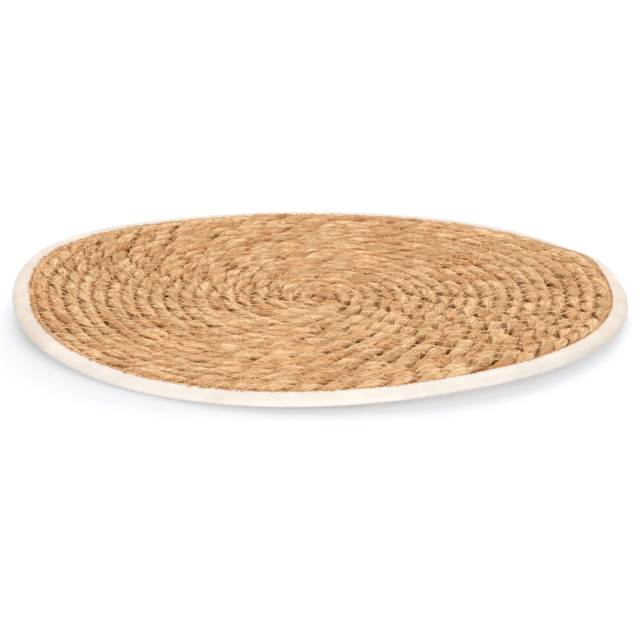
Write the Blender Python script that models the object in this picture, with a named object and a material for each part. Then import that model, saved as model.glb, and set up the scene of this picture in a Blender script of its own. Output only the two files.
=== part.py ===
"""A round placemat: one long straw rope wound flat into a spiral, its edge bound in cotton tape.

The rope starts as a narrow tip at the centre, keeps its full width for some twenty rounds, and
narrows again on the last round, so that the wound disc ends in a true circle. The tape is folded
over that last round. The middle of the mat lies flat on the table and its rim lifts a little, more
at the two sides than at the front and back. The origin is under the centre, on the table, +Z up.
"""

import math

import bmesh
import bpy

# Driving dimensions, in metres.
MAT_RADIUS = 0.190
CLEARANCE = 0.0003

# The rope: its rounds lie side by side, a pitch apart.
ROPE_WIDTH = 0.0086
ROPE_HEIGHT = 0.0078
ROPE_FOOT = 0.0038  # the flat strip that each round rests on
ROPE_CREST = 0.0046  # the nearly flat strip along the top of each round
PITCH = ROPE_WIDTH + CLEARANCE
TIP_WIDTH = 0.0013  # at both ends of the rope
STEPS_PER_ROUND = 40

# The binding: cotton tape folded over the last round.
TAPE_THICKNESS = 0.0010
TAPE_INNER_RADIUS = 0.1805
ROPE_OUTER_RADIUS = MAT_RADIUS - TAPE_THICKNESS - 0.0006

# Near the tape the rope is pressed lower, and lifted by the tape's thickness under it.
PRESS_START = 0.1715
PRESS_END = 0.1758
PRESSED_TOP = 0.0055
PRESSED_FOOT = 0.0014
EDGE_SLOPE = 0.45  # how fast the pressed rope falls towards the rim, under the tape

# How the mat lies: flat inside FLAT_RADIUS, then rising towards the rim.
FLAT_RADIUS = 0.045
RISE_POWER = 1.7
RIM_RISE = 0.00470  # the mean height of the rim over the table
RIM_WAVES = (
    {"lobes": 2, "height": 0.00348, "peak_deg": -17.0},
    {"lobes": 3, "height": 0.00206, "peak_deg": 46.0},
)

# The tape's outer side from its upper edge, over the rim and back underneath: radius, height.
TAPE_PROFILE = (
    {"radius": TAPE_INNER_RADIUS, "height": 0.00690},
    {"radius": 0.18250, "height": 0.00686},
    {"radius": 0.18440, "height": 0.00660},
    {"radius": 0.18630, "height": 0.00605},
    {"radius": 0.18790, "height": 0.00520},
    {"radius": 0.18910, "height": 0.00410},
    {"radius": 0.18980, "height": 0.00300},
    {"radius": MAT_RADIUS, "height": 0.00200},
    {"radius": 0.18960, "height": 0.00100},
    {"radius": 0.18880, "height": 0.00035},
    {"radius": 0.18760, "height": 0.0},
    {"radius": 0.18180, "height": 0.0},
)


def clear_scene():
    for obj in list(bpy.data.objects):
        bpy.data.objects.remove(obj)


def smooth_share(value, start, end):
    """0 before start, 1 after end, and an even S between them."""
    share = min(max((value - start) / (end - start), 0.0), 1.0)
    return share * share * (3 - 2 * share)


def table_gap(x, y):
    """How high the underside is over the table at this place."""
    radius = math.hypot(x, y)
    if radius <= FLAT_RADIUS:
        return 0.0
    angle = math.atan2(y, x)
    rim = RIM_RISE
    for wave in RIM_WAVES:
        rim += wave["height"] * math.cos(wave["lobes"] * (angle - math.radians(wave["peak_deg"])))
    return rim * ((radius - FLAT_RADIUS) / (MAT_RADIUS - FLAT_RADIUS)) ** RISE_POWER


def lay_on_table(bm):
    for vert in bm.verts:
        vert.co.z += table_gap(vert.co.x, vert.co.y)


def rope_top(radius, height):
    """The height of the rope's crest at this distance from the centre."""
    pressed = PRESSED_TOP - EDGE_SLOPE * max(0.0, radius - TAPE_INNER_RADIUS - 0.0022)
    return height + (min(height, pressed) - height) * smooth_share(radius, PRESS_START, PRESS_END)


def rope_section(turn):
    """The six corners of the rope, anticlockwise in (radius, height), after this many turns."""
    outer = TIP_WIDTH + CLEARANCE + turn * PITCH
    inner = max(outer - ROPE_WIDTH, CLEARANCE)
    outer = min(outer, ROPE_OUTER_RADIUS)
    middle = (outer + inner) / 2
    share = (outer - inner) / ROPE_WIDTH
    height = ROPE_HEIGHT * (0.7 + 0.3 * smooth_share(turn, 0.0, 1.0))
    foot = PRESSED_FOOT * smooth_share(middle, PRESS_START, PRESS_END)
    foot_half = share * ROPE_FOOT / 2
    crest_half = share * ROPE_CREST / 2
    crest_in = rope_top(middle - crest_half, height)
    crest_out = rope_top(middle + crest_half, height)
    return (
        (middle - foot_half, foot),
        (middle + foot_half, foot),
        (outer, (foot + crest_out) / 2),
        (middle + crest_half, crest_out),
        (middle - crest_half, crest_in),
        (inner, (foot + crest_in) / 2),
    )


def place_section(section, angle):
    return [
        (radius * math.cos(angle), radius * math.sin(angle), height)
        for radius, height in section
    ]


def make_rope():
    """Starts from the rope's inner end and extrudes that end face round and round."""
    turns = (ROPE_OUTER_RADIUS + ROPE_WIDTH - 2 * TIP_WIDTH - CLEARANCE) / PITCH
    steps = int(turns * STEPS_PER_ROUND)
    bm = bmesh.new()
    start = [bm.verts.new(point) for point in place_section(rope_section(0.0), 0.0)]
    end = bm.faces.new(start)
    for step in range(1, steps + 1):
        turn = step / STEPS_PER_ROUND
        end = bmesh.ops.extrude_discrete_faces(bm, faces=[end])["faces"][0]
        for vert, point in zip(end.verts, place_section(rope_section(turn), math.tau * turn)):
            vert.co = point
    bm.faces.new(reversed(start))
    return finish_object("rope_coil", bm, rope_material())


def tape_section():
    """The tape's closed outline: its outer side, then its inner side one thickness away."""
    outside = [(row["radius"], row["height"]) for row in TAPE_PROFILE]
    inside = []
    for index, (radius, height) in enumerate(outside):
        before = outside[max(index - 1, 0)]
        after = outside[min(index + 1, len(outside) - 1)]
        along = math.hypot(after[0] - before[0], after[1] - before[1])
        inside.append(
            (
                radius + TAPE_THICKNESS * (after[1] - before[1]) / along,
                height - TAPE_THICKNESS * (after[0] - before[0]) / along,
            )
        )
    return outside + inside[::-1]


def make_binding():
    """Spins the tape's section once round the mat."""
    bm = bmesh.new()
    verts = [bm.verts.new((radius, 0.0, height)) for radius, height in tape_section()]
    edges = [bm.edges.new((vert, verts[index - 1])) for index, vert in enumerate(verts)]
    bmesh.ops.spin(
        bm,
        geom=verts + edges,
        axis=(0, 0, 1),
        cent=(0, 0, 0),
        angle=math.tau,
        steps=2 * STEPS_PER_ROUND,
        use_merge=True,
    )
    return finish_object("rim_binding", bm, cotton_material())


def make_material(name, colour, roughness):
    material = bpy.data.materials.new(name)
    material.use_nodes = True
    shader = material.node_tree.nodes["Principled BSDF"]
    shader.inputs["Base Color"].default_value = (*colour, 1.0)
    shader.inputs["Roughness"].default_value = roughness
    shader.inputs["Metallic"].default_value = 0.0
    material.diffuse_color = (*colour, 1.0)
    return material


def rope_material():
    return make_material("straw_rope", (0.56, 0.34, 0.18), 0.75)


def cotton_material():
    return make_material("cream_cotton", (0.86, 0.80, 0.72), 0.85)


def finish_object(name, bm, material):
    """Lays the shape on the table, turns its faces outwards and makes it an object."""
    lay_on_table(bm)
    bmesh.ops.recalc_face_normals(bm, faces=bm.faces)
    mesh = bpy.data.meshes.new(name)
    bm.to_mesh(mesh)
    bm.free()
    mesh.materials.append(material)
    mesh.shade_smooth()
    mesh.set_sharp_from_angle(angle=math.radians(35))
    obj = bpy.data.objects.new(name, mesh)
    bpy.context.scene.collection.objects.link(obj)
    return obj


def main():
    clear_scene()
    make_rope()
    make_binding()


main()
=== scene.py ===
# %% [markdown]
# # A round placemat of straw rope
# The real mat is one long two-strand rope of dried grass, wound flat from the centre outwards. A
# zigzag seam of thread joins each round to the next, and a folded cotton tape covers the last round.
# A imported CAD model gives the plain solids. This lesson dresses them: two twisted strands, the seam
# thread, the loose fibres and the tape, each as its own piece and with its own finish.

import math

import bmesh
import bpy
import numpy as np
from mathutils import Matrix, Vector
from mathutils.bvhtree import BVHTree


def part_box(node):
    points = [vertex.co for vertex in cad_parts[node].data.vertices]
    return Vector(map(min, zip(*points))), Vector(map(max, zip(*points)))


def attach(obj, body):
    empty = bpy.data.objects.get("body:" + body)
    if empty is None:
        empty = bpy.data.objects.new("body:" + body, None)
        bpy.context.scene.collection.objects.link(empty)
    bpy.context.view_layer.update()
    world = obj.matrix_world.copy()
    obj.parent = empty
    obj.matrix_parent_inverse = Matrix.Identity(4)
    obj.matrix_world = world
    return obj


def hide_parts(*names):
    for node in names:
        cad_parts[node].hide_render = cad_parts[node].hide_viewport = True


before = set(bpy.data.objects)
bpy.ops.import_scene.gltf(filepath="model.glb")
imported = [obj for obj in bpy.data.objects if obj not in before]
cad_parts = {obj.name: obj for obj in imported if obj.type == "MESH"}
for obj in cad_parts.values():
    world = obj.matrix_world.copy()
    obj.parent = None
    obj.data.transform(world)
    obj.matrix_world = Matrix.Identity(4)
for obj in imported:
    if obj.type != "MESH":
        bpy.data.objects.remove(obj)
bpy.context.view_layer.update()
MAT_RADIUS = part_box("rim_binding")[1].x
print("nodes:", sorted(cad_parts), "mat radius:", round(MAT_RADIUS, 4))

# %% [markdown]
# ## Camera
# The view is from the front and quite low, 18 degrees above the table, from far away through a long
# lens. A long lens keeps the round mat a clean oval. The camera's axes are written out as a matrix,
# because that gives its slight roll directly.

# %% Camera
LOOK_AT = Vector((0.00064, -0.0374, 0.0047))
DISTANCE = 2.0
ELEVATION_DEG = 18.473
ROLL_DEG = 0.558
LENS_MM = 185.3


def aim_camera(target, distance, elevation_deg, roll_deg, lens):
    elevation = math.radians(elevation_deg)
    roll = math.radians(roll_deg)
    towards = Vector((0.0, math.cos(elevation), -math.sin(elevation)))
    level = Vector((1.0, 0.0, 0.0))
    upright = level.cross(towards)
    right = math.cos(roll) * level + math.sin(roll) * upright
    up = math.cos(roll) * upright - math.sin(roll) * level
    data = bpy.data.cameras.new("camera")
    data.lens = lens
    camera = bpy.data.objects.new("camera", data)
    matrix = Matrix((right, up, -towards)).transposed().to_4x4()
    matrix.translation = target - distance * towards
    camera.matrix_world = matrix
    bpy.context.scene.collection.objects.link(camera)
    return camera


camera = aim_camera(LOOK_AT, DISTANCE, ELEVATION_DEG, ROLL_DEG, LENS_MM)
bpy.context.scene.camera = camera
print("camera at", tuple(round(value, 3) for value in camera.matrix_world.translation))

# %% [markdown]
# ## Small helpers for materials
# Every finish is a chain of nodes. The first helper makes a new material, the next two make colours,
# and the others add one node each. A finish then reads like a sum: some noise, a ramp that turns it
# into colours, and mixes of those colours.

# %% Small helpers for materials
def make_material(name):
    material = bpy.data.materials.new(name)
    material.use_nodes = True
    return material, material.node_tree.nodes, material.node_tree.links


def paint(red, green, blue):
    """Turns a colour as a screen shows it, 0 to 255, into the linear one that a shader takes."""
    shares = (red / 255, green / 255, blue / 255)
    return tuple(((share + 0.055) / 1.055) ** 2.4 for share in shares) + (1.0,)


def grey(share):
    return (share, share, share, 1.0)


def add_node(nodes, kind, **settings):
    node = nodes.new(kind)
    for key, value in settings.items():
        setattr(node, key, value)
    return node


def do_math(nodes, links, operation, *values):
    node = add_node(nodes, "ShaderNodeMath", operation=operation)
    for socket, value in zip(node.inputs, values):
        if isinstance(value, (int, float)):
            socket.default_value = value
        else:
            links.new(value, socket)
    return node.outputs[0]


def mix_colours(nodes, links, share, first, second, blend_type="MIX"):
    node = add_node(nodes, "ShaderNodeMix", data_type="RGBA", blend_type=blend_type)
    for socket, value in ((node.inputs[0], share), (node.inputs[6], first), (node.inputs[7], second)):
        if isinstance(value, (int, float, tuple)):
            socket.default_value = value
        else:
            links.new(value, socket)
    return node.outputs[2]


def ramp(nodes, links, value, stops):
    node = add_node(nodes, "ShaderNodeValToRGB")
    elements = node.color_ramp.elements
    while len(elements) < len(stops):
        elements.new(0.5)
    for element, (place, colour) in zip(elements, stops):
        element.position = place
        element.color = colour
    links.new(value, node.inputs[0])
    return node.outputs[0]


def add_noise(nodes, links, place, scale, detail=2.0, roughness=0.5):
    noise = add_node(nodes, "ShaderNodeTexNoise")
    noise.inputs["Scale"].default_value = scale
    noise.inputs["Detail"].default_value = detail
    noise.inputs["Roughness"].default_value = roughness
    links.new(place, noise.inputs["Vector"])
    return noise.outputs[0]


def add_bump(nodes, links, height, strength, distance):
    bump = add_node(nodes, "ShaderNodeBump")
    bump.inputs["Strength"].default_value = strength
    bump.inputs["Distance"].default_value = distance
    links.new(height, bump.inputs["Height"])
    links.new(bump.outputs[0], nodes["Principled BSDF"].inputs["Normal"])


print("black and white:", grey(0.0), grey(1.0))

# %% [markdown]
# ## Table and studio light
# The mat lies on a pale table that glows a little, a painted light that keeps the shadows pale and a
# little blue. The glow is a product of two round patches. One stops it below the mat, where it would
# shine up through the gaps in the rope. The other dims it in front at the left: a painted shadow,
# wider than the one that the low rim casts there. A faint warm world and three sun lamps light the
# table. Their wide angles make soft shadows: one lamp is above, one low at the back draws the shadow
# in front of the rim, and one low in front lights the tape. The Standard view keeps white.

# %% Table and studio light
GLOW_AND_PAINTED_SHADOW_PATCHES = (
    {"centre": (0.0, 0.0, 0.0), "start": 0.150, "end": 0.172, "inside": 0.0, "outside": 1.0},
    # painted shadow: this patch dims the glow in front at the left
    {"centre": (-0.052, -0.058, 0.0), "start": 0.120, "end": 0.160, "inside": 0.38, "outside": 0.49},
)
TABLE_HALF_SIZE = 8.0
TABLE_DROP = 0.0002  # keeps the table just clear of the mat's underside


def add_object(name, mesh, material):
    mesh.materials.append(material)
    obj = bpy.data.objects.new(name, mesh)
    bpy.context.scene.collection.objects.link(obj)
    return obj


def add_soft_sun(name, comes_from, spread_deg, strength):
    data = bpy.data.lights.new(name, "SUN")
    data.angle = math.radians(spread_deg)
    data.energy = strength
    lamp = bpy.data.objects.new(name, data)
    lamp.rotation_euler = Vector(comes_from).to_track_quat("Z", "Y").to_euler()
    bpy.context.scene.collection.objects.link(lamp)
    return lamp


def table_finish():
    material, nodes, links = make_material("white_table")
    shader = nodes["Principled BSDF"]
    shader.inputs["Base Color"].default_value = (0.470, 0.459, 0.461, 1.0)
    shader.inputs["Roughness"].default_value = 0.9
    shader.inputs["Specular IOR Level"].default_value = 0.1
    # painted light: the table glows a little blue, shaped by the patches
    shader.inputs["Emission Color"].default_value = (0.87, 0.94, 1.0, 1.0)
    place = add_node(nodes, "ShaderNodeTexCoord")
    fades = []
    for patch in GLOW_AND_PAINTED_SHADOW_PATCHES:
        reach = add_node(nodes, "ShaderNodeVectorMath", operation="DISTANCE")
        reach.inputs[1].default_value = patch["centre"]
        links.new(place.outputs["Object"], reach.inputs[0])
        fade = add_node(nodes, "ShaderNodeMapRange", interpolation_type="SMOOTHSTEP")
        fade.inputs["From Min"].default_value = patch["start"]
        fade.inputs["From Max"].default_value = patch["end"]
        fade.inputs["To Min"].default_value = patch["inside"]
        fade.inputs["To Max"].default_value = patch["outside"]
        links.new(reach.outputs["Value"], fade.inputs["Value"])
        fades.append(fade.outputs[0])
    glow = do_math(nodes, links, "MULTIPLY", *fades)
    links.new(glow, shader.inputs["Emission Strength"])
    return material


bm = bmesh.new()
bmesh.ops.create_grid(bm, x_segments=1, y_segments=1, size=TABLE_HALF_SIZE)
bmesh.ops.translate(bm, verts=bm.verts, vec=(0.0, 0.0, -TABLE_DROP))
table_mesh = bpy.data.meshes.new("table_top")
bm.to_mesh(table_mesh)
bm.free()
add_object("table_top", table_mesh, table_finish())

scene = bpy.context.scene
scene.view_settings.view_transform = "Standard"
scene.world = bpy.data.worlds.new("studio")
scene.world.use_nodes = True
background = scene.world.node_tree.nodes["Background"]
background.inputs["Color"].default_value = (1.0, 0.975, 0.945, 1.0)
background.inputs["Strength"].default_value = 0.34
add_soft_sun("lamp_above", (-0.05, 0.45, 1.0), 70.0, 1.40)
add_soft_sun("lamp_back", (0.15, 1.0, 0.50), 50.0, 1.40)
lamp_front = add_soft_sun("lamp_front", (0.0, -1.0, 0.42), 42.0, 2.30)
lamp_front.data.color = (0.97, 0.99, 1.0)
print("lights:", [light.name for light in bpy.data.lights])

# %% [markdown]
# ## How the mat lies
# The middle of the mat is flat on the table. Its rim lifts by a few millimetres in two slow waves,
# more at the two sides than at the front and back, and it has small bends of its own, listed here by
# angle. One function gives the height of the underside over the table, and every piece is shaped on a
# flat mat first and then laid on the table with it.

# %% How the mat lies
FLAT_RADIUS = 0.045
RISE_POWER = 1.7
RIM_RISE = 0.00470  # the mean height of the rim over the table
RIM_WAVES = (
    {"lobes": 2, "height": 0.00348, "peak_deg": -17.0},
    {"lobes": 3, "height": 0.00206, "peak_deg": 46.0},
)
BENDS_START = 0.130
BENDS_FULL = 0.180
BEND_EASE_DEG = 3.0
RIM_BENDS_MM = (
    (-180, 1.4),
    (-165, 0.5),
    (-150, 0.0),
    (-80, 0.2),
    (-65, 0.7),
    (-50, 0.3),
    (-20, -1.0),
    (5, 0.0),
    (14, 1.5),
    (16, 2.0),
    (22, 2.2),
    (29, -0.7),
    (38, -1.2),
    (50, -0.8),
    (65, -0.5),
    (85, 0.0),
    (100, 0.0),
    (115, -0.5),
    (130, -0.4),
    (148, 0.3),
    (162, 1.2),
)


def smooth_share(value, start, end):
    """0 before start, 1 after end, and an even S between them."""
    part = np.clip((value - start) / (end - start), 0.0, 1.0)
    return part * part * (3 - 2 * part)


def fade_out(value, start, end):
    """1 before start, 0 after end, and an even S between them."""
    return smooth_share(-value, -end, -start)


def rim_bend(radius, angle):
    """The small bends of the rim, eased by taking the mean of three nearby angles."""
    table = np.array(RIM_BENDS_MM)
    total = 0.0
    for turn in (-BEND_EASE_DEG, 0.0, BEND_EASE_DEG):
        total = total + np.interp(np.degrees(angle) + turn, table[:, 0], table[:, 1], period=360.0)
    return 0.001 * total / 3 * smooth_share(radius, BENDS_START, BENDS_FULL)


def table_gap(x, y):
    """How high the underside is over the table at these places."""
    radius = np.hypot(x, y)
    angle = np.arctan2(y, x)
    rim = RIM_RISE
    for wave in RIM_WAVES:
        rim = rim + wave["height"] * np.cos(wave["lobes"] * (angle - math.radians(wave["peak_deg"])))
    share = np.clip((radius - FLAT_RADIUS) / (MAT_RADIUS - FLAT_RADIUS), 0.0, None)
    return rim * share**RISE_POWER + rim_bend(radius, angle)


def get_points(mesh):
    points = np.empty(len(mesh.vertices) * 3)
    mesh.vertices.foreach_get("co", points)
    return points.reshape(-1, 3)


def set_points(mesh, points):
    mesh.vertices.foreach_set("co", points.ravel())
    mesh.update()


rim_angles = np.radians([0, 90, 180, 270])
rim_gaps = table_gap(MAT_RADIUS * np.cos(rim_angles), MAT_RADIUS * np.sin(rim_angles))
print("rim over the table, right, back, left, front:", np.round(rim_gaps, 4))

# %% [markdown]
# ## The rope's line
# Each round of the rope lies beside the one before, one pitch further out. At the centre it starts as
# a narrow tip, and on the last round it narrows again, so that the disc ends in a true circle.
# The line is cut into equal steps along its length, so the twist is as tight outside as inside.

# %% The rope's line
ROPE_WIDTH = 0.0086
ROPE_HEIGHT = 0.0082
PITCH = 0.0089  # from one round to the next
TIP_WIDTH = 0.0016  # at both ends of the rope
ROPE_OUTER_RADIUS = 0.1884
RING_STEP = 0.0018  # along the rope, from one ring of points to the next
FINE_STEPS = 40000


def rope_line(turn):
    """The radius of the rope's middle, and its width, after this many turns."""
    outer = TIP_WIDTH + turn * PITCH
    inner = np.maximum(outer - ROPE_WIDTH, 0.0)
    outer = np.minimum(outer, ROPE_OUTER_RADIUS)
    return (inner + outer) / 2, outer - inner


last_turn = (ROPE_OUTER_RADIUS + ROPE_WIDTH - 2 * TIP_WIDTH) / PITCH
fine_turns = np.linspace(0.0, last_turn, FINE_STEPS)
fine_radii = rope_line(fine_turns)[0]
steps = np.hypot(np.diff(fine_radii), fine_radii[1:] * np.diff(fine_turns) * math.tau)
fine_lengths = np.concatenate([[0.0], np.cumsum(steps)])
rope_length = fine_lengths[-1]
lengths = np.arange(0.0, rope_length, RING_STEP)
turns = np.interp(lengths, fine_lengths, fine_turns)
radii, widths = rope_line(turns)
angles = math.tau * turns
print("turns:", round(last_turn, 2), "rope length:", round(rope_length, 2), "m, rings:", len(lengths))

# %% [markdown]
# ## Two strands, twisted
# Each strand winds round the rope's middle like a stair, once in 36 mm, half a turn away from the
# other. It is a curve with an oval profile: the curve's tilt turns the oval with the winding, so its
# flat side always faces out. A strand swells on top and narrows at the rope's sides, which makes the
# plump bumps, and towards the front the rope is looser, so it bulges more. The winding, the thickness
# and the line all wander a little, as in hand-laid rope.

# %% Two strands, twisted
LAY = 0.0360  # along the rope for one full twist
SWING_ACROSS = 0.00195
SWING_UP = 0.0020
SIDE_WANDER = 0.0007
HEIGHT_WANDER = 0.00045
TWIST_WANDER = 1.3
STRAND_WANDER = 0.45  # of one strand's own winding
SIZE_WANDER = 0.14
THINNEST_SHARE = 0.15  # of the strands' size, at the ends of the rope
BULGE = 0.08
STRAND_HALF_WIDTH = 0.0035
STRAND_HALF_DEPTH = 0.0022
STEM_TURN = 170.0  # how fast the stems turn round a strand, in radians a metre
SIDES = 13
LOOSEST_DEG = -50.0  # the direction from the centre in which the rope is loosest
LOOSE_FROM = 0.60  # the cosine of the angle from there at which the looseness starts
LOOSE_SPAN = 0.32  # how much more cosine makes it full
LOOSE_SWING = 0.26  # what full looseness adds to the swing and to the bulge
LOOSE_BULGE = 0.16


def smooth_noise(place, spacing, seed):
    """Random values from -1 to 1 at knots this far apart, joined by smooth slopes."""
    knots = np.random.default_rng(seed).uniform(-1, 1, int(place.max() / spacing) + 3)
    index = (place / spacing).astype(int)
    share = place / spacing - index
    share = share * share * (3 - 2 * share)
    return knots[index] * (1 - share) + knots[index + 1] * share


def make_profile(name, points):
    curve = bpy.data.curves.new(name, "CURVE")
    curve.dimensions = "2D"
    spline = curve.splines.new("POLY")
    spline.points.add(len(points) - 1)
    for point, (x, y) in zip(spline.points, points):
        point.co = (x, y, 0.0, 1.0)
    spline.use_cyclic_u = True
    profile = bpy.data.objects.new(name, curve)
    bpy.context.scene.collection.objects.link(profile)
    return profile


def sweep(name, profile, lines):
    """Sweeps a profile along lines of points, each with its radii and tilts, into one mesh."""
    curve = bpy.data.curves.new(name, "CURVE")
    curve.dimensions = "3D"
    curve.twist_mode = "Z_UP"
    curve.bevel_mode = "OBJECT"
    curve.bevel_object = profile
    curve.use_fill_caps = True
    for points, radius, tilt in lines:
        spline = curve.splines.new("POLY")
        spline.points.add(len(points) - 1)
        spline.points.foreach_set("co", np.column_stack([points, np.ones(len(points))]).ravel())
        spline.points.foreach_set("radius", radius)
        spline.points.foreach_set("tilt", tilt)
        spline.use_smooth = True
    guide = bpy.data.objects.new(name + "_guide", curve)
    bpy.context.scene.collection.objects.link(guide)
    graph = bpy.context.evaluated_depsgraph_get()
    mesh = bpy.data.meshes.new_from_object(guide.evaluated_get(graph), depsgraph=graph)
    mesh.materials.clear()
    mesh.name = name
    bpy.data.objects.remove(guide)
    bpy.data.curves.remove(curve)
    return mesh


def oval(half_width, half_depth, sides):
    """The corners of an oval profile."""
    corners = []
    for step in range(sides):
        angle = math.tau * step / sides
        corners.append((half_width * math.cos(angle), half_depth * math.sin(angle)))
    return corners


outward = np.column_stack([np.cos(angles), np.sin(angles), np.zeros(len(angles))])
upward = np.array([0.0, 0.0, 1.0])
width_share = np.clip(widths / ROPE_WIDTH, THINNEST_SHARE, 1.0)
sideways = SIDE_WANDER * width_share * smooth_noise(lengths, spacing=0.026, seed=1)
middle = outward * (radii + sideways)[:, None]
heights = ROPE_HEIGHT / 2 + HEIGHT_WANDER * smooth_noise(lengths, spacing=0.027, seed=2)
middle = middle + upward * heights[:, None]
winding = math.tau * lengths / LAY + TWIST_WANDER * smooth_noise(lengths, spacing=0.05, seed=3)
nearness = np.cos(angles - math.radians(LOOSEST_DEG))
looseness = np.clip((nearness - LOOSE_FROM) / LOOSE_SPAN, 0.0, 1.0)


def strand_line(half_turn, seed):
    """The strand's middle line, its size and its tilt, at every ring."""
    phase = winding + half_turn + STRAND_WANDER * smooth_noise(lengths, spacing=0.03, seed=seed + 5)
    rise = upward * (SWING_UP * width_share * (1 + LOOSE_SWING * looseness) * np.cos(phase))[:, None]
    across = outward * (SWING_ACROSS * width_share * np.sin(phase))[:, None]
    line = middle + rise - across
    bulge = 1.0 + (BULGE + LOOSE_BULGE * looseness) * np.cos(2 * phase)
    size = width_share * bulge * (1.0 + SIZE_WANDER * smooth_noise(lengths, spacing=0.014, seed=seed))
    return line, size, -phase


strand_profile = make_profile("strand_profile", oval(STRAND_HALF_WIDTH, STRAND_HALF_DEPTH, SIDES))
strand_lines = [strand_line(0.0, 17), strand_line(math.pi, 19)]
strand_meshes = [
    sweep("rope_strand_one", strand_profile, strand_lines[:1]),
    sweep("rope_strand_two", strand_profile, strand_lines[1:]),
]
print("faces in each strand:", [len(mesh.polygons) for mesh in strand_meshes])

# %% [markdown]
# ## Pressed by the tape
# The tape's inner edge isn't a true circle, so a short table gives how far it wanders at each angle.
# Along that edge the rope's dips are packed full, and under the tape the rope is pressed lower. The
# heights of a flat rope go through these functions, and come out laid on the table.

# %% Pressed by the tape
PRESSED_FOOT = 0.0012
PRESSED_TOP = (
    (0.1745, 0.0082),
    (0.1775, 0.0076),
    (0.1796, 0.0071),
    (0.1806, 0.0066),
    (0.1812, 0.0056),
    (0.1840, 0.0054),
    (0.1863, 0.0048),
    (0.1884, 0.0037),
)
PRESS_STARTS = (0.1745, 0.1800)  # these pairs are radii between which something fades in or out
PACK_STARTS = (0.1758, 0.1790)
PACK_ENDS = (0.1820, 0.1850)
CREST_ENDS = (0.1785, 0.1812)
SHIFT_ENDS = (0.183, 0.187)
PACKED_FROM_HEIGHTS = (0.003, 0.005)
PACKED_HEIGHT = 0.94  # of the rope's height
PACKED_SHARE = 0.88
CREST_SPARE = 0.0020  # how far straw may stand over the rope's height outside the tape
EDGE_SHIFTS_MM = (
    (-180, -2.7),
    (-172, -2.7),
    (-163, -1.1),
    (-155, 0.4),
    (-120, 0.7),
    (-88, -0.8),
    (-40, -1.0),
    (-15, -0.4),
    (8, 0.2),
    (18, 2.0),
    (28, 2.4),
    (35, 0.8),
    (42, -1.0),
    (60, -2.7),
    (95, -2.5),
    (130, -2.9),
    (165, -1.9),
)


def edge_shift(angle):
    """How far the tape's inner edge wanders outwards at this angle."""
    table = np.array(EDGE_SHIFTS_MM)
    return 0.001 * np.interp(np.degrees(angle), table[:, 0], table[:, 1], period=360.0)


def pack_edge(points):
    """Fills the dips of the rope where the tape's inner edge holds it tight."""
    radius = np.hypot(points[:, 0], points[:, 1])
    edge = radius - edge_shift(np.arctan2(points[:, 1], points[:, 0]))
    tight = smooth_share(edge, *PACK_STARTS) * fade_out(edge, *PACK_ENDS)
    packed = PACKED_SHARE * tight * smooth_share(points[:, 2], *PACKED_FROM_HEIGHTS)
    return points[:, 2] + packed * np.maximum(PACKED_HEIGHT * ROPE_HEIGHT - points[:, 2], 0.0)


def lay_height(points):
    """Presses a flat rope's heights near the tape, and lays it on the table."""
    radius = np.hypot(points[:, 0], points[:, 1])
    angle = np.arctan2(points[:, 1], points[:, 0])
    edge = radius - edge_shift(angle) * fade_out(radius, *SHIFT_ENDS)
    top = np.interp(edge, [row[0] for row in PRESSED_TOP], [row[1] for row in PRESSED_TOP])
    foot = PRESSED_FOOT * smooth_share(edge, *PRESS_STARTS)
    crest = ROPE_HEIGHT + CREST_SPARE * (1 - smooth_share(edge, *CREST_ENDS))
    height = np.clip(points[:, 2], 0.0, crest)
    return foot + height * (top - foot) / ROPE_HEIGHT + table_gap(points[:, 0], points[:, 1])


edge_angles = np.radians([0, 90, 180, -90])
print("the tape's edge shifts by:", np.round(edge_shift(edge_angles), 4))

# %% [markdown]
# ## Uneven strands
# Straw is never an even tube. Every ring of a strand is pushed in and out by a random field that
# turns slowly along it, as the stems do. Low parts spread sideways, so that no gap shows the table,
# and the last round is kept inside the fold of the tape. Each strand also stores three numbers for its
# finish: how deep a spot lies, which sets its painted shade, and the tone and tint of the bundle of
# straw that it belongs to.

# %% Uneven strands
HELD_FROM = 0.1830  # from this radius outwards the tape holds the rope in
HELD_DEPTH = 0.0042
LOW_PART = 0.68  # of the rope's height: straw below it spreads sideways
LOW_SPREAD = 1.2
WELD_DISTANCE = 1e-6
STEM_LOBES = ((2, 0.05), (3, 0.07), (5, 0.05))
STEM_WANDER = 3.0
BUNDLE_CHANGE = 0.86  # the share of a twist after which one bundle's value turns into the next
UNDERSIDE_DROPS = (0.0006, 0.0018)  # below the strand's middle, between which the underside starts
UNDERSIDE_HEIGHTS = (0.0012, 0.0032)  # above the table, between which it ends
LOOSE_TONE = 0.4  # how much darker the loosest rope is, on the scale of the bundles' tones


def store(mesh, name, values):
    attribute = mesh.attributes.new(name, "FLOAT", "POINT")
    attribute.data.foreach_set("value", values)


def bundle_values(phase, seed):
    """One random value for each bundle that shows on top, changing over underneath."""
    place = (phase + math.pi) / math.tau
    place = place - place.min()
    values = np.random.default_rng(seed).uniform(-1, 1, int(place.max()) + 2)
    index = place.astype(int)
    blend = smooth_share(place - index, BUNDLE_CHANGE, 1.0)
    return values[index] * (1 - blend) + values[index + 1] * blend


def ring_and_side(rings):
    """Which ring of the sweep each of its points is on, and where round it. The caps come first."""
    ring = np.repeat(np.arange(rings), SIDES)
    ring = np.concatenate([np.full(SIDES, rings - 1), np.zeros(SIDES, int), ring])
    side = np.tile(np.arange(SIDES), rings + 2)
    return ring, side


def push_stems(points, centres, ring, side, seed):
    """Pushes each ring in and out, with the pattern turning slowly along the strand."""
    around = math.tau * side / SIDES + STEM_TURN * lengths[ring]
    push = 0.0
    for lobes, depth in STEM_LOBES:
        shift = STEM_WANDER * smooth_noise(lengths, spacing=0.016, seed=seed + lobes)
        push = push + depth * np.cos(lobes * around + shift[ring])
    return centres + (points - centres) * (1 + push)[:, None]


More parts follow.
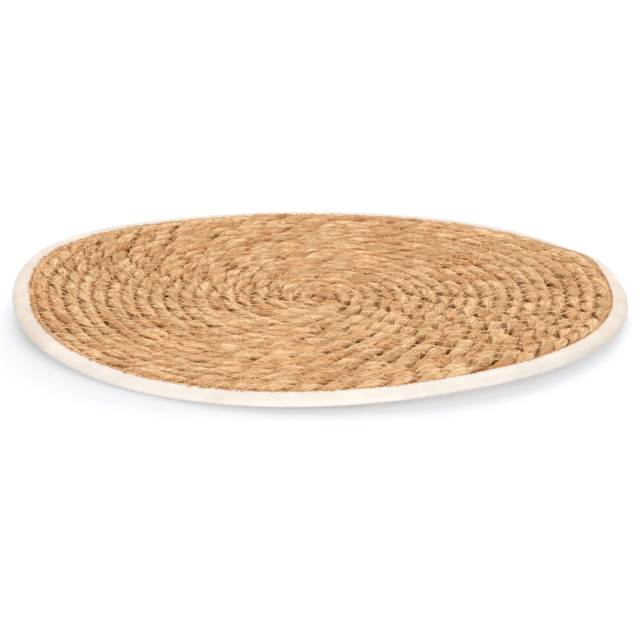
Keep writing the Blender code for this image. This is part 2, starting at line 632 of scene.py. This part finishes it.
def spread_low_parts(points, ring):
    low = np.clip(1 - points[:, 2] / (LOW_PART * ROPE_HEIGHT), 0.0, 1.0)
    spread = LOW_SPREAD * low * width_share[ring]
    offset = np.hypot(points[:, 0], points[:, 1]) - radii[ring]
    points[:, :2] += outward[ring, :2] * (offset * spread)[:, None]


def hold_in(points):
    """Keeps the last round inside the tape: the further out a point is, the more it is pulled in."""
    reach = np.hypot(points[:, 0], points[:, 1])
    over = np.maximum(reach - HELD_FROM, 0.0)
    held = reach - over + HELD_DEPTH * np.tanh(over / HELD_DEPTH)
    points[:, :2] *= (held / np.maximum(reach, 1e-6))[:, None]


def straw_shade_depth(points, centres):
    """0 on the crest and 1 at the foot, for painted shade; the underside is left as light as the top."""
    below = smooth_share(centres[:, 2] - points[:, 2], *UNDERSIDE_DROPS)
    below = below * fade_out(points[:, 2], *UNDERSIDE_HEIGHTS)
    deep = np.clip((ROPE_HEIGHT - points[:, 2]) / ROPE_HEIGHT, 0.0, 1.0)
    return deep * (1 - below)


def finish_strand(mesh, line, seed):
    """Makes one swept strand uneven, stores its numbers and lays it on the table."""
    line_points, _, tilt = line
    ring, side = ring_and_side(len(line_points))
    centres = line_points[ring]
    points = push_stems(get_points(mesh), centres, ring, side, seed)
    spread_low_parts(points, ring)
    hold_in(points)
    points[:, 2] = pack_edge(points)
    tone = bundle_values(-tilt, seed + 1) - LOOSE_TONE * looseness
    store(mesh, "straw_shade_depth", straw_shade_depth(points, centres))
    store(mesh, "straw_tone", tone[ring])
    store(mesh, "straw_tint", bundle_values(-tilt, seed + 2)[ring])
    points[:, 2] = lay_height(points)
    set_points(mesh, points)
    bm = bmesh.new()
    bm.from_mesh(mesh)
    bmesh.ops.remove_doubles(bm, verts=bm.verts, dist=WELD_DISTANCE)
    bmesh.ops.recalc_face_normals(bm, faces=bm.faces)
    bm.to_mesh(mesh)
    bm.free()
    mesh.shade_smooth()


for number, mesh in enumerate(strand_meshes):
    finish_strand(mesh, strand_lines[number], 21 + 10 * number)
    print(mesh.name, "points:", len(mesh.vertices))

# %% [markdown]
# ## Straw
# A bundle of straw is many flat stems side by side. Their lines run along the strand and turn slowly
# the other way. The strand's own UV map has the length in u and the way round in v, so noise is read
# at (length, cosine, sine): it stretches along the stems and has no join. Voronoi cells stretched the
# same way make single blades, with a thin line of painted shade round each. Deep places are painted
# in shade, warm first and then dark brown, and each bundle has a tone and a tint of its own.

# %% Straw
STRAW_COLOURS = (
    (0.30, paint(203, 154, 105)),
    (0.42, paint(225, 184, 141)),
    (0.54, paint(236, 202, 162)),
    (0.68, paint(244, 217, 181)),
)
BLADE_TONES = (
    (0.0, (0.82, 0.73, 0.63, 1.0)),
    (0.35, (0.96, 0.95, 0.93, 1.0)),
    (1.0, (1.05, 1.06, 1.07, 1.0)),
)
BUNDLE_TONES = (
    (0.0, (0.79, 0.69, 0.58, 1.0)),
    (0.4, (0.96, 0.95, 0.94, 1.0)),
    (1.0, (1.06, 1.08, 1.1, 1.0)),
)
BUNDLE_TINTS = (
    (0.0, (1.0, 0.86, 0.76, 1.0)),
    (0.3, grey(1.0)),
    (0.8, grey(1.0)),
    (1.0, (0.97, 1.02, 0.92, 1.0)),
)
# painted shade: a thin dark line along the edge of each blade
CREASE_SHADE_STOPS = ((0.0, grey(0.5)), (0.12, grey(0.0)))
CREASE_SHADE_COLOUR = paint(140, 78, 20)
# painted shade: deep places turn warmer, then dark brown
WARM_SHADE = ((0.06, grey(1.0)), (0.26, (1.0, 0.84, 0.66, 1.0)))
DEEP_SHADE = ((0.13, grey(0.0)), (0.44, grey(1.0)))
DEEP_SHADE_COLOUR = paint(132, 64, 8)
BLADES_STRETCH = (75.0, 1.45)  # these pairs are a texture's scales along and across the stems
WIDE_STRETCH = (90.0, 2.4)
FINE_STRETCH = (160.0, 6.5)
FINE_WEIGHT = 0.8
LINES_SCALE = 0.5556  # brings the sum of the two noises back to between 0 and 1
BLADE_ROUNDING = 0.3
LINE_RELIEF = 0.6


def attribute(nodes, name):
    return add_node(nodes, "ShaderNodeAttribute", attribute_name=name).outputs["Fac"]


def stem_places(nodes, links, length):
    """The place along a strand in metres, and the cosine and sine of the place round its stems."""
    uv = add_node(nodes, "ShaderNodeUVMap", uv_map="UVMap")
    parts = add_node(nodes, "ShaderNodeSeparateXYZ")
    links.new(uv.outputs[0], parts.inputs[0])
    along = do_math(nodes, links, "MULTIPLY", parts.outputs[0], length)
    turned = do_math(nodes, links, "MULTIPLY", along, STEM_TURN)
    around = do_math(nodes, links, "MULTIPLY_ADD", parts.outputs[1], math.tau, turned)
    cosine = do_math(nodes, links, "COSINE", around)
    sine = do_math(nodes, links, "SINE", around)
    return along, cosine, sine


def stretched(nodes, links, places, along_scale, across_scale):
    vector = add_node(nodes, "ShaderNodeCombineXYZ")
    for socket, place, scale in zip(vector.inputs, places, (along_scale, across_scale, across_scale)):
        links.new(do_math(nodes, links, "MULTIPLY", place, scale), socket)
    return vector.outputs[0]


def blades(nodes, links, places, feature):
    """Long cells along the stems. Their colour or the distance to their edges can be read."""
    cells = add_node(nodes, "ShaderNodeTexVoronoi", feature=feature)
    cells.inputs["Scale"].default_value = 1.0
    links.new(stretched(nodes, links, places, *BLADES_STRETCH), cells.inputs["Vector"])
    return cells.outputs


def straw_colour(nodes, links, lines, blade, edges):
    one_blade = add_node(nodes, "ShaderNodeSeparateColor")
    links.new(blade, one_blade.inputs[0])
    tone = do_math(nodes, links, "MULTIPLY_ADD", attribute(nodes, "straw_tone"), 0.5, 0.5)
    tint = do_math(nodes, links, "MULTIPLY_ADD", attribute(nodes, "straw_tint"), 0.5, 0.5)
    depth = attribute(nodes, "straw_shade_depth")
    colour = ramp(nodes, links, lines, STRAW_COLOURS)
    for value, stops in ((one_blade.outputs[0], BLADE_TONES), (tone, BUNDLE_TONES), (tint, BUNDLE_TINTS)):
        colour = mix_colours(nodes, links, 1.0, colour, ramp(nodes, links, value, stops), "MULTIPLY")
    # painted shade along the edges of the blades
    crease_shade = ramp(nodes, links, edges, CREASE_SHADE_STOPS)
    colour = mix_colours(nodes, links, crease_shade, colour, CREASE_SHADE_COLOUR)
    # painted shade: the deep places are warmed, then darkened to brown
    warm = ramp(nodes, links, depth, WARM_SHADE)
    colour = mix_colours(nodes, links, 1.0, colour, warm, "MULTIPLY")
    deep = ramp(nodes, links, depth, DEEP_SHADE)
    return mix_colours(nodes, links, deep, colour, DEEP_SHADE_COLOUR)


def straw_finish(length):
    material, nodes, links = make_material("straw_strands")
    places = stem_places(nodes, links, length)
    wide_place = stretched(nodes, links, places, *WIDE_STRETCH)
    fine_place = stretched(nodes, links, places, *FINE_STRETCH)
    wide = add_noise(nodes, links, wide_place, scale=1.0, roughness=0.6)
    fine = add_noise(nodes, links, fine_place, scale=1.0, roughness=0.6)
    both = do_math(nodes, links, "MULTIPLY_ADD", fine, FINE_WEIGHT, wide)
    lines = do_math(nodes, links, "MULTIPLY", both, LINES_SCALE)
    blade = blades(nodes, links, places, "F1")["Color"]
    edges = blades(nodes, links, places, "DISTANCE_TO_EDGE")["Distance"]
    shader = nodes["Principled BSDF"]
    links.new(straw_colour(nodes, links, lines, blade, edges), shader.inputs["Base Color"])
    shader.inputs["Roughness"].default_value = 0.62
    shader.inputs["Specular IOR Level"].default_value = 0.06
    rounded = do_math(nodes, links, "MINIMUM", edges, BLADE_ROUNDING)
    relief = do_math(nodes, links, "MULTIPLY_ADD", lines, LINE_RELIEF, rounded)
    add_bump(nodes, links, relief, strength=1.0, distance=0.0007)
    return material


straw_strands = straw_finish(rope_length)
strands = [add_object(mesh.name, mesh, straw_strands) for mesh in strand_meshes]
for strand in strands:
    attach(strand, "root")
    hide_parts("rope_coil")
print("strands:", [strand.name for strand in strands])

# %% [markdown]
# ## The cotton binding
# The rim is a bias tape, folded over the last round and sewn down on both sides. Its section is drawn
# as one closed outline, a millimetre thick, and spun once round the mat. Small pleats pull in from
# its inner edge, and a slanted join shows where its two ends were sewn together. Its colour has
# painted shade: the cloth is a little darker and warmer at the left and right, and at the back.

# %% The cotton binding
TAPE_THICKNESS = 0.0010
TAPE_STEPS = 360
TAPE_TOP_FROM = 0.0045  # the height over which a point is on the tape's upper side
TAPE_TOP_ENDS = (0.1805, 0.1860)  # the radii between which the inner edge's wander fades out
PLEAT_HEIGHT = 0.00016
PLEATED_DEG = 175.0  # the side with the deepest pleats
PLEATS_ELSEWHERE = 0.4
PLEAT_WAVES = (83, 97, 118, 141, 163)  # in one round of the mat, as are the next two
EDGE_WAVES = (7, 13, 19, 31, 47, 71)
RIM_WAVES_SOFT = (11, 17, 29, 37)
EDGE_WANDER = 0.00028
RIM_WANDER = 0.00010
LEFT_PULL = 0.0014  # how far the rim is pulled in at the left
JOIN_DEG = -61.0
JOIN_SLANT = 1.2
JOIN_HALF_WIDTH = 0.0011
JOIN_MIDDLE = 0.003  # the height at which the slanted join is at that angle
JOIN_RISE = 0.00016
JOIN_REACH = 0.00012
# painted shade: the tape is darker and warmer at the left and right and at the back
SHADED_SIDES = (0.70, 1.0)  # by the cosine of the angle, and the next by its sine
SHADED_BACK = (0.2, 0.7)
CLOTH_COLOURS = ((0.35, paint(219, 207, 196)), (0.95, paint(235, 226, 217)))
TAPE_SHADE_TONES = ((0.0, grey(1.0)), (1.0, (0.92, 0.89, 0.85, 1.0)))
TAPE_PROFILE = (
    (0.18050, 0.00690),
    (0.18150, 0.00700),
    (0.18250, 0.00690),
    (0.18440, 0.00660),
    (0.18630, 0.00605),
    (0.18790, 0.00520),
    (0.18910, 0.00410),
    (0.18980, 0.00300),
    (0.19000, 0.00200),
    (0.18960, 0.00100),
    (0.18880, 0.00035),
    (0.18760, 0.00005),
    (0.18470, 0.00005),
    (0.18180, 0.00005),
)


def tape_outline():
    """The closed outline of the tape's section: its outer side, and back along its inner side."""
    outside = list(TAPE_PROFILE)
    inside = []
    for index, (radius, height) in enumerate(outside):
        before = outside[max(index - 1, 0)]
        after = outside[min(index + 1, len(outside) - 1)]
        along = math.hypot(after[0] - before[0], after[1] - before[1])
        shift_out = TAPE_THICKNESS * (after[1] - before[1]) / along
        shift_up = -TAPE_THICKNESS * (after[0] - before[0]) / along
        inside.append((radius + shift_out, height + shift_up))
    return outside + inside[::-1]


def circle_noise(angle, waves, seed):
    """A random wave round the mat, of these numbers of waves a round."""
    rng = np.random.default_rng(seed)
    total = np.zeros(len(angle))
    for count in waves:
        total = total + rng.uniform(0.5, 1.0) * np.cos(count * angle + rng.uniform(0, math.tau))
    return total / math.sqrt(len(waves))


def spin_tape():
    """Spins the section once round the mat."""
    bm = bmesh.new()
    verts = [bm.verts.new((radius, 0.0, height)) for radius, height in tape_outline()]
    edges = [bm.edges.new((vert, verts[index - 1])) for index, vert in enumerate(verts)]
    bmesh.ops.spin(
        bm,
        geom=verts + edges,
        axis=(0, 0, 1),
        cent=(0, 0, 0),
        angle=math.tau,
        steps=TAPE_STEPS,
        use_merge=True,
    )
    bmesh.ops.recalc_face_normals(bm, faces=bm.faces)
    bmesh.ops.subdivide_edges(bm, edges=bm.edges, cuts=1, use_grid_fill=True, smooth=0.0)
    mesh = bpy.data.meshes.new("edge_tape")
    bm.to_mesh(mesh)
    bm.free()
    return mesh


def make_tape():
    """Gives the spun tape its pleats, its wandering edges and its join, and lays it on the table."""
    mesh = spin_tape()
    points = get_points(mesh)
    radius = np.hypot(points[:, 0], points[:, 1])
    angle = np.arctan2(points[:, 1], points[:, 0])
    near_edge = fade_out(radius, *TAPE_TOP_ENDS) * (points[:, 2] > TAPE_TOP_FROM)
    pleats = circle_noise(angle, PLEAT_WAVES, seed=5)
    pleated = smooth_share(np.cos(angle - math.radians(PLEATED_DEG)), 0.2, 0.9)
    pleat_share = PLEATS_ELSEWHERE + (1 - PLEATS_ELSEWHERE) * pleated
    points[:, 2] += near_edge * PLEAT_HEIGHT * pleats * pleat_share
    wander = circle_noise(angle, EDGE_WAVES, seed=6) * EDGE_WANDER + edge_shift(angle)
    new_radius = radius + near_edge * wander
    soft = circle_noise(angle, RIM_WAVES_SOFT, seed=7) * RIM_WANDER
    pulled = LEFT_PULL * smooth_share(-np.cos(angle), 0.92, 1.0)
    new_radius = new_radius + (soft - pulled) * (1 - near_edge)
    from_join = (angle - math.radians(JOIN_DEG)) * MAT_RADIUS
    from_join = from_join - (points[:, 2] - JOIN_MIDDLE) * JOIN_SLANT
    ridge = np.exp(-((from_join / JOIN_HALF_WIDTH) ** 2)) * (points[:, 2] > TAPE_THICKNESS)
    points[:, 2] += JOIN_RISE * ridge
    new_radius = new_radius + JOIN_REACH * ridge
    points[:, 0] *= new_radius / radius
    points[:, 1] *= new_radius / radius
    points[:, 2] += table_gap(points[:, 0], points[:, 1])
    # painted shade on the sides and the back of the tape
    beside = smooth_share(np.abs(np.cos(angle)), *SHADED_SIDES)
    behind = smooth_share(np.sin(angle), *SHADED_BACK)
    store(mesh, "tape_shade", np.maximum(beside, behind))
    set_points(mesh, points)
    mesh.shade_smooth()
    return mesh


def cotton_finish():
    material, nodes, links = make_material("cream_tape")
    place = add_node(nodes, "ShaderNodeTexCoord").outputs["Object"]
    cloudy = add_noise(nodes, links, place, scale=55.0, detail=3.0)
    fine = add_noise(nodes, links, place, scale=1900.0)
    both = do_math(nodes, links, "MULTIPLY_ADD", fine, 0.35, cloudy)
    colour = ramp(nodes, links, both, CLOTH_COLOURS)
    # painted shade, stored for each point of the tape
    painted_shade = ramp(nodes, links, attribute(nodes, "tape_shade"), TAPE_SHADE_TONES)
    colour = mix_colours(nodes, links, 1.0, colour, painted_shade, "MULTIPLY")
    shader = nodes["Principled BSDF"]
    links.new(colour, shader.inputs["Base Color"])
    shader.inputs["Roughness"].default_value = 0.85
    shader.inputs["Specular IOR Level"].default_value = 0.2
    shader.inputs["Sheen Weight"].default_value = 0.15
    shader.inputs["Sheen Roughness"].default_value = 0.5
    add_bump(nodes, links, both, strength=0.5, distance=0.0004)
    return material


edge_tape = add_object("edge_tape", make_tape(), cotton_finish())
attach(edge_tape, "root")
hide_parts("rim_binding")
print("tape faces:", len(edge_tape.data.polygons))

# %% [markdown]
# ## Feeling for the surface
# Thread and loose fibres lie on the bumpy rope, so the script has to know how high it is anywhere. A
# ray sent straight down onto the two strands finds that height, and one sent up finds the underside.

# %% Feeling for the surface
graph = bpy.context.evaluated_depsgraph_get()
RAY_HEIGHT = 0.05
strand_trees = [BVHTree.FromObject(strand, graph) for strand in strands]
tape_tree = BVHTree.FromObject(edge_tape, graph)


def feel(trees, x, y, side):
    """The height of the outermost surface here, seen from above (side 1) or below (side -1)."""
    best = None
    for tree in trees:
        hit = tree.ray_cast(Vector((x, y, RAY_HEIGHT * side)), Vector((0.0, 0.0, -side)))[0]
        if hit is not None and (best is None or side * hit.z > side * best):
            best = hit.z
    return best


print("height of the rope at a radius of 100 mm:", round(feel(strand_trees, 0.1, 0.0, 1), 5))

# %% [markdown]
# ## The zigzag seam
# A machine joins the rounds with a zigzag: each leg crosses the groove from the crest of one round to
# the crest of the next, a little shorter at the back of the mat. The thread is pulled tight, so it is
# a straight line across the groove, and bends only where straw stands in its way. At its corners it
# sinks into the straw.

# %% The zigzag seam
LEG_STEP = 0.0044
LEG_REACH = 0.0034  # from the groove to either end of a leg
STEP_SPREAD = 0.0006  # these two are how much the stitches differ
REACH_SPREAD = 0.0007
BACK_SHORTER = 0.0008
SINK_SPREAD = 0.00018
THREAD_RADIUS = 0.00022
SEAM_START = 0.022  # along the groove
SEAM_RADIUS = 0.1778  # the last groove that is sewn
SEAM_LIMIT = 0.1798  # where the tape's inner edge covers the thread
GROOVE_OFFSET = 0.00015
thread_profile = make_profile("thread_profile", oval(1.0, 1.0, 3))


def zigzag_corners(seed):
    """The corners of the zigzag along the whole groove, just outside each round of the rope."""
    rng = np.random.default_rng(seed)
    last_groove = np.interp((SEAM_RADIUS - TIP_WIDTH) / PITCH, fine_turns, fine_lengths)
    groove = np.interp(np.arange(SEAM_START, last_groove, 0.001), fine_lengths, fine_turns)
    groove_radius = TIP_WIDTH + groove * PITCH + GROOVE_OFFSET
    groove_steps = np.hypot(np.diff(groove_radius), groove_radius[1:] * np.diff(groove) * math.tau)
    groove_length = np.concatenate([[0.0], np.cumsum(groove_steps)])
    stops = np.arange(0.0, groove_length[-1], LEG_STEP)
    stops = stops + rng.normal(0.0, STEP_SPREAD, len(stops))
    turn = np.interp(stops, groove_length, groove)
    angle = math.tau * turn
    reach = rng.normal(LEG_REACH, REACH_SPREAD, len(stops))
    reach = reach - BACK_SHORTER * smooth_share(np.sin(angle), -0.2, 0.5)
    reach = reach * np.where(np.arange(len(stops)) % 2 == 0, 1.0, -1.0)
    limit = SEAM_LIMIT + edge_shift(angle)
    radius = np.clip(TIP_WIDTH + turn * PITCH + GROOVE_OFFSET + reach, 0.001, limit)
    return np.column_stack([radius * np.cos(angle), radius * np.sin(angle)])


def taut_leg(start, end, side, count, sunk):
    """Points along one leg: straight from corner to corner, and over whatever straw is higher."""
    spots = [start + (end - start) * step / count for step in range(count + 1)]
    felt = [feel(strand_trees, spot[0], spot[1], side) or 0.0 for spot in spots]
    points = []
    for step, (spot, height) in enumerate(zip(spots, felt)):
        straight = felt[0] + (felt[-1] - felt[0]) * step / count
        over = -0.5 * THREAD_RADIUS if step in (0, count) else THREAD_RADIUS - sunk
        height = side * (max(side * straight, side * height) + over)
        points.append((spot[0], spot[1], max(height, 0.4 * THREAD_RADIUS)))
    return points


def sew(name, seed, side, count):
    """The whole seam on one side of the mat, each leg in this many pieces."""
    corners = zigzag_corners(seed)
    sunk = np.abs(np.random.default_rng(seed + 1).normal(0.0, SINK_SPREAD, len(corners)))
    lines = []
    for start, end, sink in zip(corners[:-1], corners[1:], sunk):
        leg = taut_leg(start, end, side, count, sink)
        lines.append((np.array(leg), np.full(count + 1, THREAD_RADIUS), np.zeros(count + 1)))
    return sweep(name, thread_profile, lines)


def thread_finish(name, dark, pale):
    """A finish with soft patches of two colours, for thread and single stems."""
    material, nodes, links = make_material(name)
    place = add_node(nodes, "ShaderNodeTexCoord").outputs["Object"]
    patchy = add_noise(nodes, links, place, scale=220.0)
    colour = ramp(nodes, links, patchy, ((0.35, dark), (0.65, pale)))
    shader = nodes["Principled BSDF"]
    links.new(colour, shader.inputs["Base Color"])
    shader.inputs["Roughness"].default_value = 0.6
    shader.inputs["Specular IOR Level"].default_value = 0.1
    return material


pale_thread = thread_finish("seam_thread", paint(246, 202, 148), paint(255, 230, 184))
for mesh in (sew("seam_thread_top", 31, 1, 5), sew("seam_thread_under", 33, -1, 2)):
    seam = add_object(mesh.name, mesh, pale_thread)
    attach(seam, "root")
    print(seam.name, "faces:", len(mesh.polygons))

# %% [markdown]
# ## Loose fibres
# Fine ends of straw stick out of the rope everywhere and lie over each other. Each is a thin line of
# a few points that follows the surface, lifts a little and tapers to a point. There are thousands, so
# each has only three sides.

# %% Loose fibres
FIBRES_ON_TOP = 7000
FIBRES_UNDER = 1500
FIBRE_LIMIT = 0.1815  # no fibre starts further out
FIBRE_END_LIMIT = 0.1818
FIBRE_LENGTHS = (0.004, 0.013)
FIBRE_RADII = (0.00012, 0.00021)
FIBRE_LEAN = 0.5  # how far a fibre's usual heading turns outwards from along the rope
HEADING_SPREAD = 0.75
CURL_SPREAD = 0.5
FIBRE_MOST_LIFT = 0.0008
FIBRE_CLEARANCE = 0.0001  # over the straw, and over the table
FIBRE_LIFTS = np.array([0.0, 0.5, 0.7, 0.9, 1.4])  # at the five points of a fibre
FIBRE_TAPER = np.array([0.6, 1, 1, 0.8, 0.2])


def lay_fibre(spots, side, lifts, trees):
    """Points of one fibre that lies over the surface, or None where there is none under it."""
    points = []
    for spot, lift in zip(spots, lifts):
        height = feel(trees, spot[0], spot[1], side)
        if height is None:
            return None
        points.append((spot[0], spot[1], max(height + side * lift, FIBRE_CLEARANCE)))
    return points


def scatter_fibres(name, count, seed, side):
    rng = np.random.default_rng(seed)
    lines = []
    while len(lines) < count:
        radius = FIBRE_LIMIT * math.sqrt(rng.uniform(0.0006, 1.0))
        angle = rng.uniform(0.0, math.tau)
        place = radius * np.array([math.cos(angle), math.sin(angle)])
        heading = angle + math.pi / 2 - FIBRE_LEAN + rng.normal(0.0, HEADING_SPREAD)
        length = rng.uniform(*FIBRE_LENGTHS)
        curl = rng.normal(0.0, CURL_SPREAD)
        spots = [place]
        for step in range(4):
            turn = heading + curl * step / 4
            spots.append(spots[-1] + length / 4 * np.array([math.cos(turn), math.sin(turn)]))
        if math.hypot(*spots[-1]) > FIBRE_END_LIMIT:
            continue
        lifts = FIBRE_CLEARANCE + rng.uniform(0.0, FIBRE_MOST_LIFT) * FIBRE_LIFTS
        points = lay_fibre(spots, side, lifts, strand_trees)
        if points is not None:
            thickness = rng.uniform(*FIBRE_RADII)
            lines.append((np.array(points), thickness * FIBRE_TAPER, np.zeros(5)))
    return sweep(name, thread_profile, lines)


loose_straw = thread_finish("loose_straw", paint(222, 164, 102), paint(252, 212, 158))
top_mesh = scatter_fibres("loose_fibres_top", FIBRES_ON_TOP, 41, 1)
under_mesh = scatter_fibres("loose_fibres_under", FIBRES_UNDER, 43, -1)
for mesh in (top_mesh, under_mesh):
    fibres = add_object(mesh.name, mesh, loose_straw)
    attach(fibres, "root")
    print(fibres.name, "faces:", len(mesh.polygons))

# %% [markdown]
# ## Fibres over the tape
# Along the binding, short ends of straw lap over its edge. They point outwards, are longest at the
# front, then at the left, and a few are thick. They are darker than the loose ones, so they show on the
# pale cloth.

# %% Fibres over the tape
FRINGE_COUNT = 1500
FRINGE_START = 0.1790  # just inside the tape's inner edge
FRINGE_START_SPREAD = 0.0012
FRINGE_HEADING_SPREAD = 0.5
FRINGE_LENGTHS = (0.0018, 0.0048)
FRINGE_SHORTEST = 0.4  # of those lengths, at the back and the right
FRINGE_RADII = (0.00009, 0.00018)
FRINGE_MOST_LIFT = 0.0004
FRINGE_CLEARANCE = 0.00008
FRINGE_LIFTS = np.array([0.0, 1.0, 1.2, 1.0])  # at the four points of a fibre
FRINGE_TAPER = np.array([1, 1, 0.8, 0.2])
THICK_EVERY = 6
THICK_TIMES = 1.8


def edge_fibres(name, count, seed):
    rng = np.random.default_rng(seed)
    lines = []
    for number in range(count):
        angle = rng.uniform(0.0, math.tau)
        radius = FRINGE_START + rng.uniform(0.0, FRINGE_START_SPREAD) + edge_shift(angle)
        place = radius * np.array([math.cos(angle), math.sin(angle)])
        heading = angle + rng.normal(0.0, FRINGE_HEADING_SPREAD)
        facing = max(-math.sin(angle), -0.5 * math.cos(angle), 0.0)
        length = rng.uniform(*FRINGE_LENGTHS) * (FRINGE_SHORTEST + (1 - FRINGE_SHORTEST) * facing)
        step_out = length / 3 * np.array([math.cos(heading), math.sin(heading)])
        spots = [place + step * step_out for step in range(4)]
        lifts = FRINGE_CLEARANCE + rng.uniform(0.0, FRINGE_MOST_LIFT) * FRINGE_LIFTS
        points = lay_fibre(spots, 1, lifts, [*strand_trees, tape_tree])
        if points is not None:
            thickness = rng.uniform(*FRINGE_RADII) * (THICK_TIMES if number % THICK_EVERY == 0 else 1.0)
            lines.append((np.array(points), thickness * FRINGE_TAPER, np.zeros(4)))
    return sweep(name, thread_profile, lines)


fringe_straw = thread_finish("fringe_straw", paint(196, 136, 78), paint(240, 196, 142))
edge_fringe = add_object("edge_fibres", edge_fibres("edge_fibres", FRINGE_COUNT, 51), fringe_straw)
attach(edge_fringe, "root")
bpy.data.objects.remove(strand_profile)
bpy.data.objects.remove(thread_profile)
print("edge fibre faces:", len(edge_fringe.data.polygons))
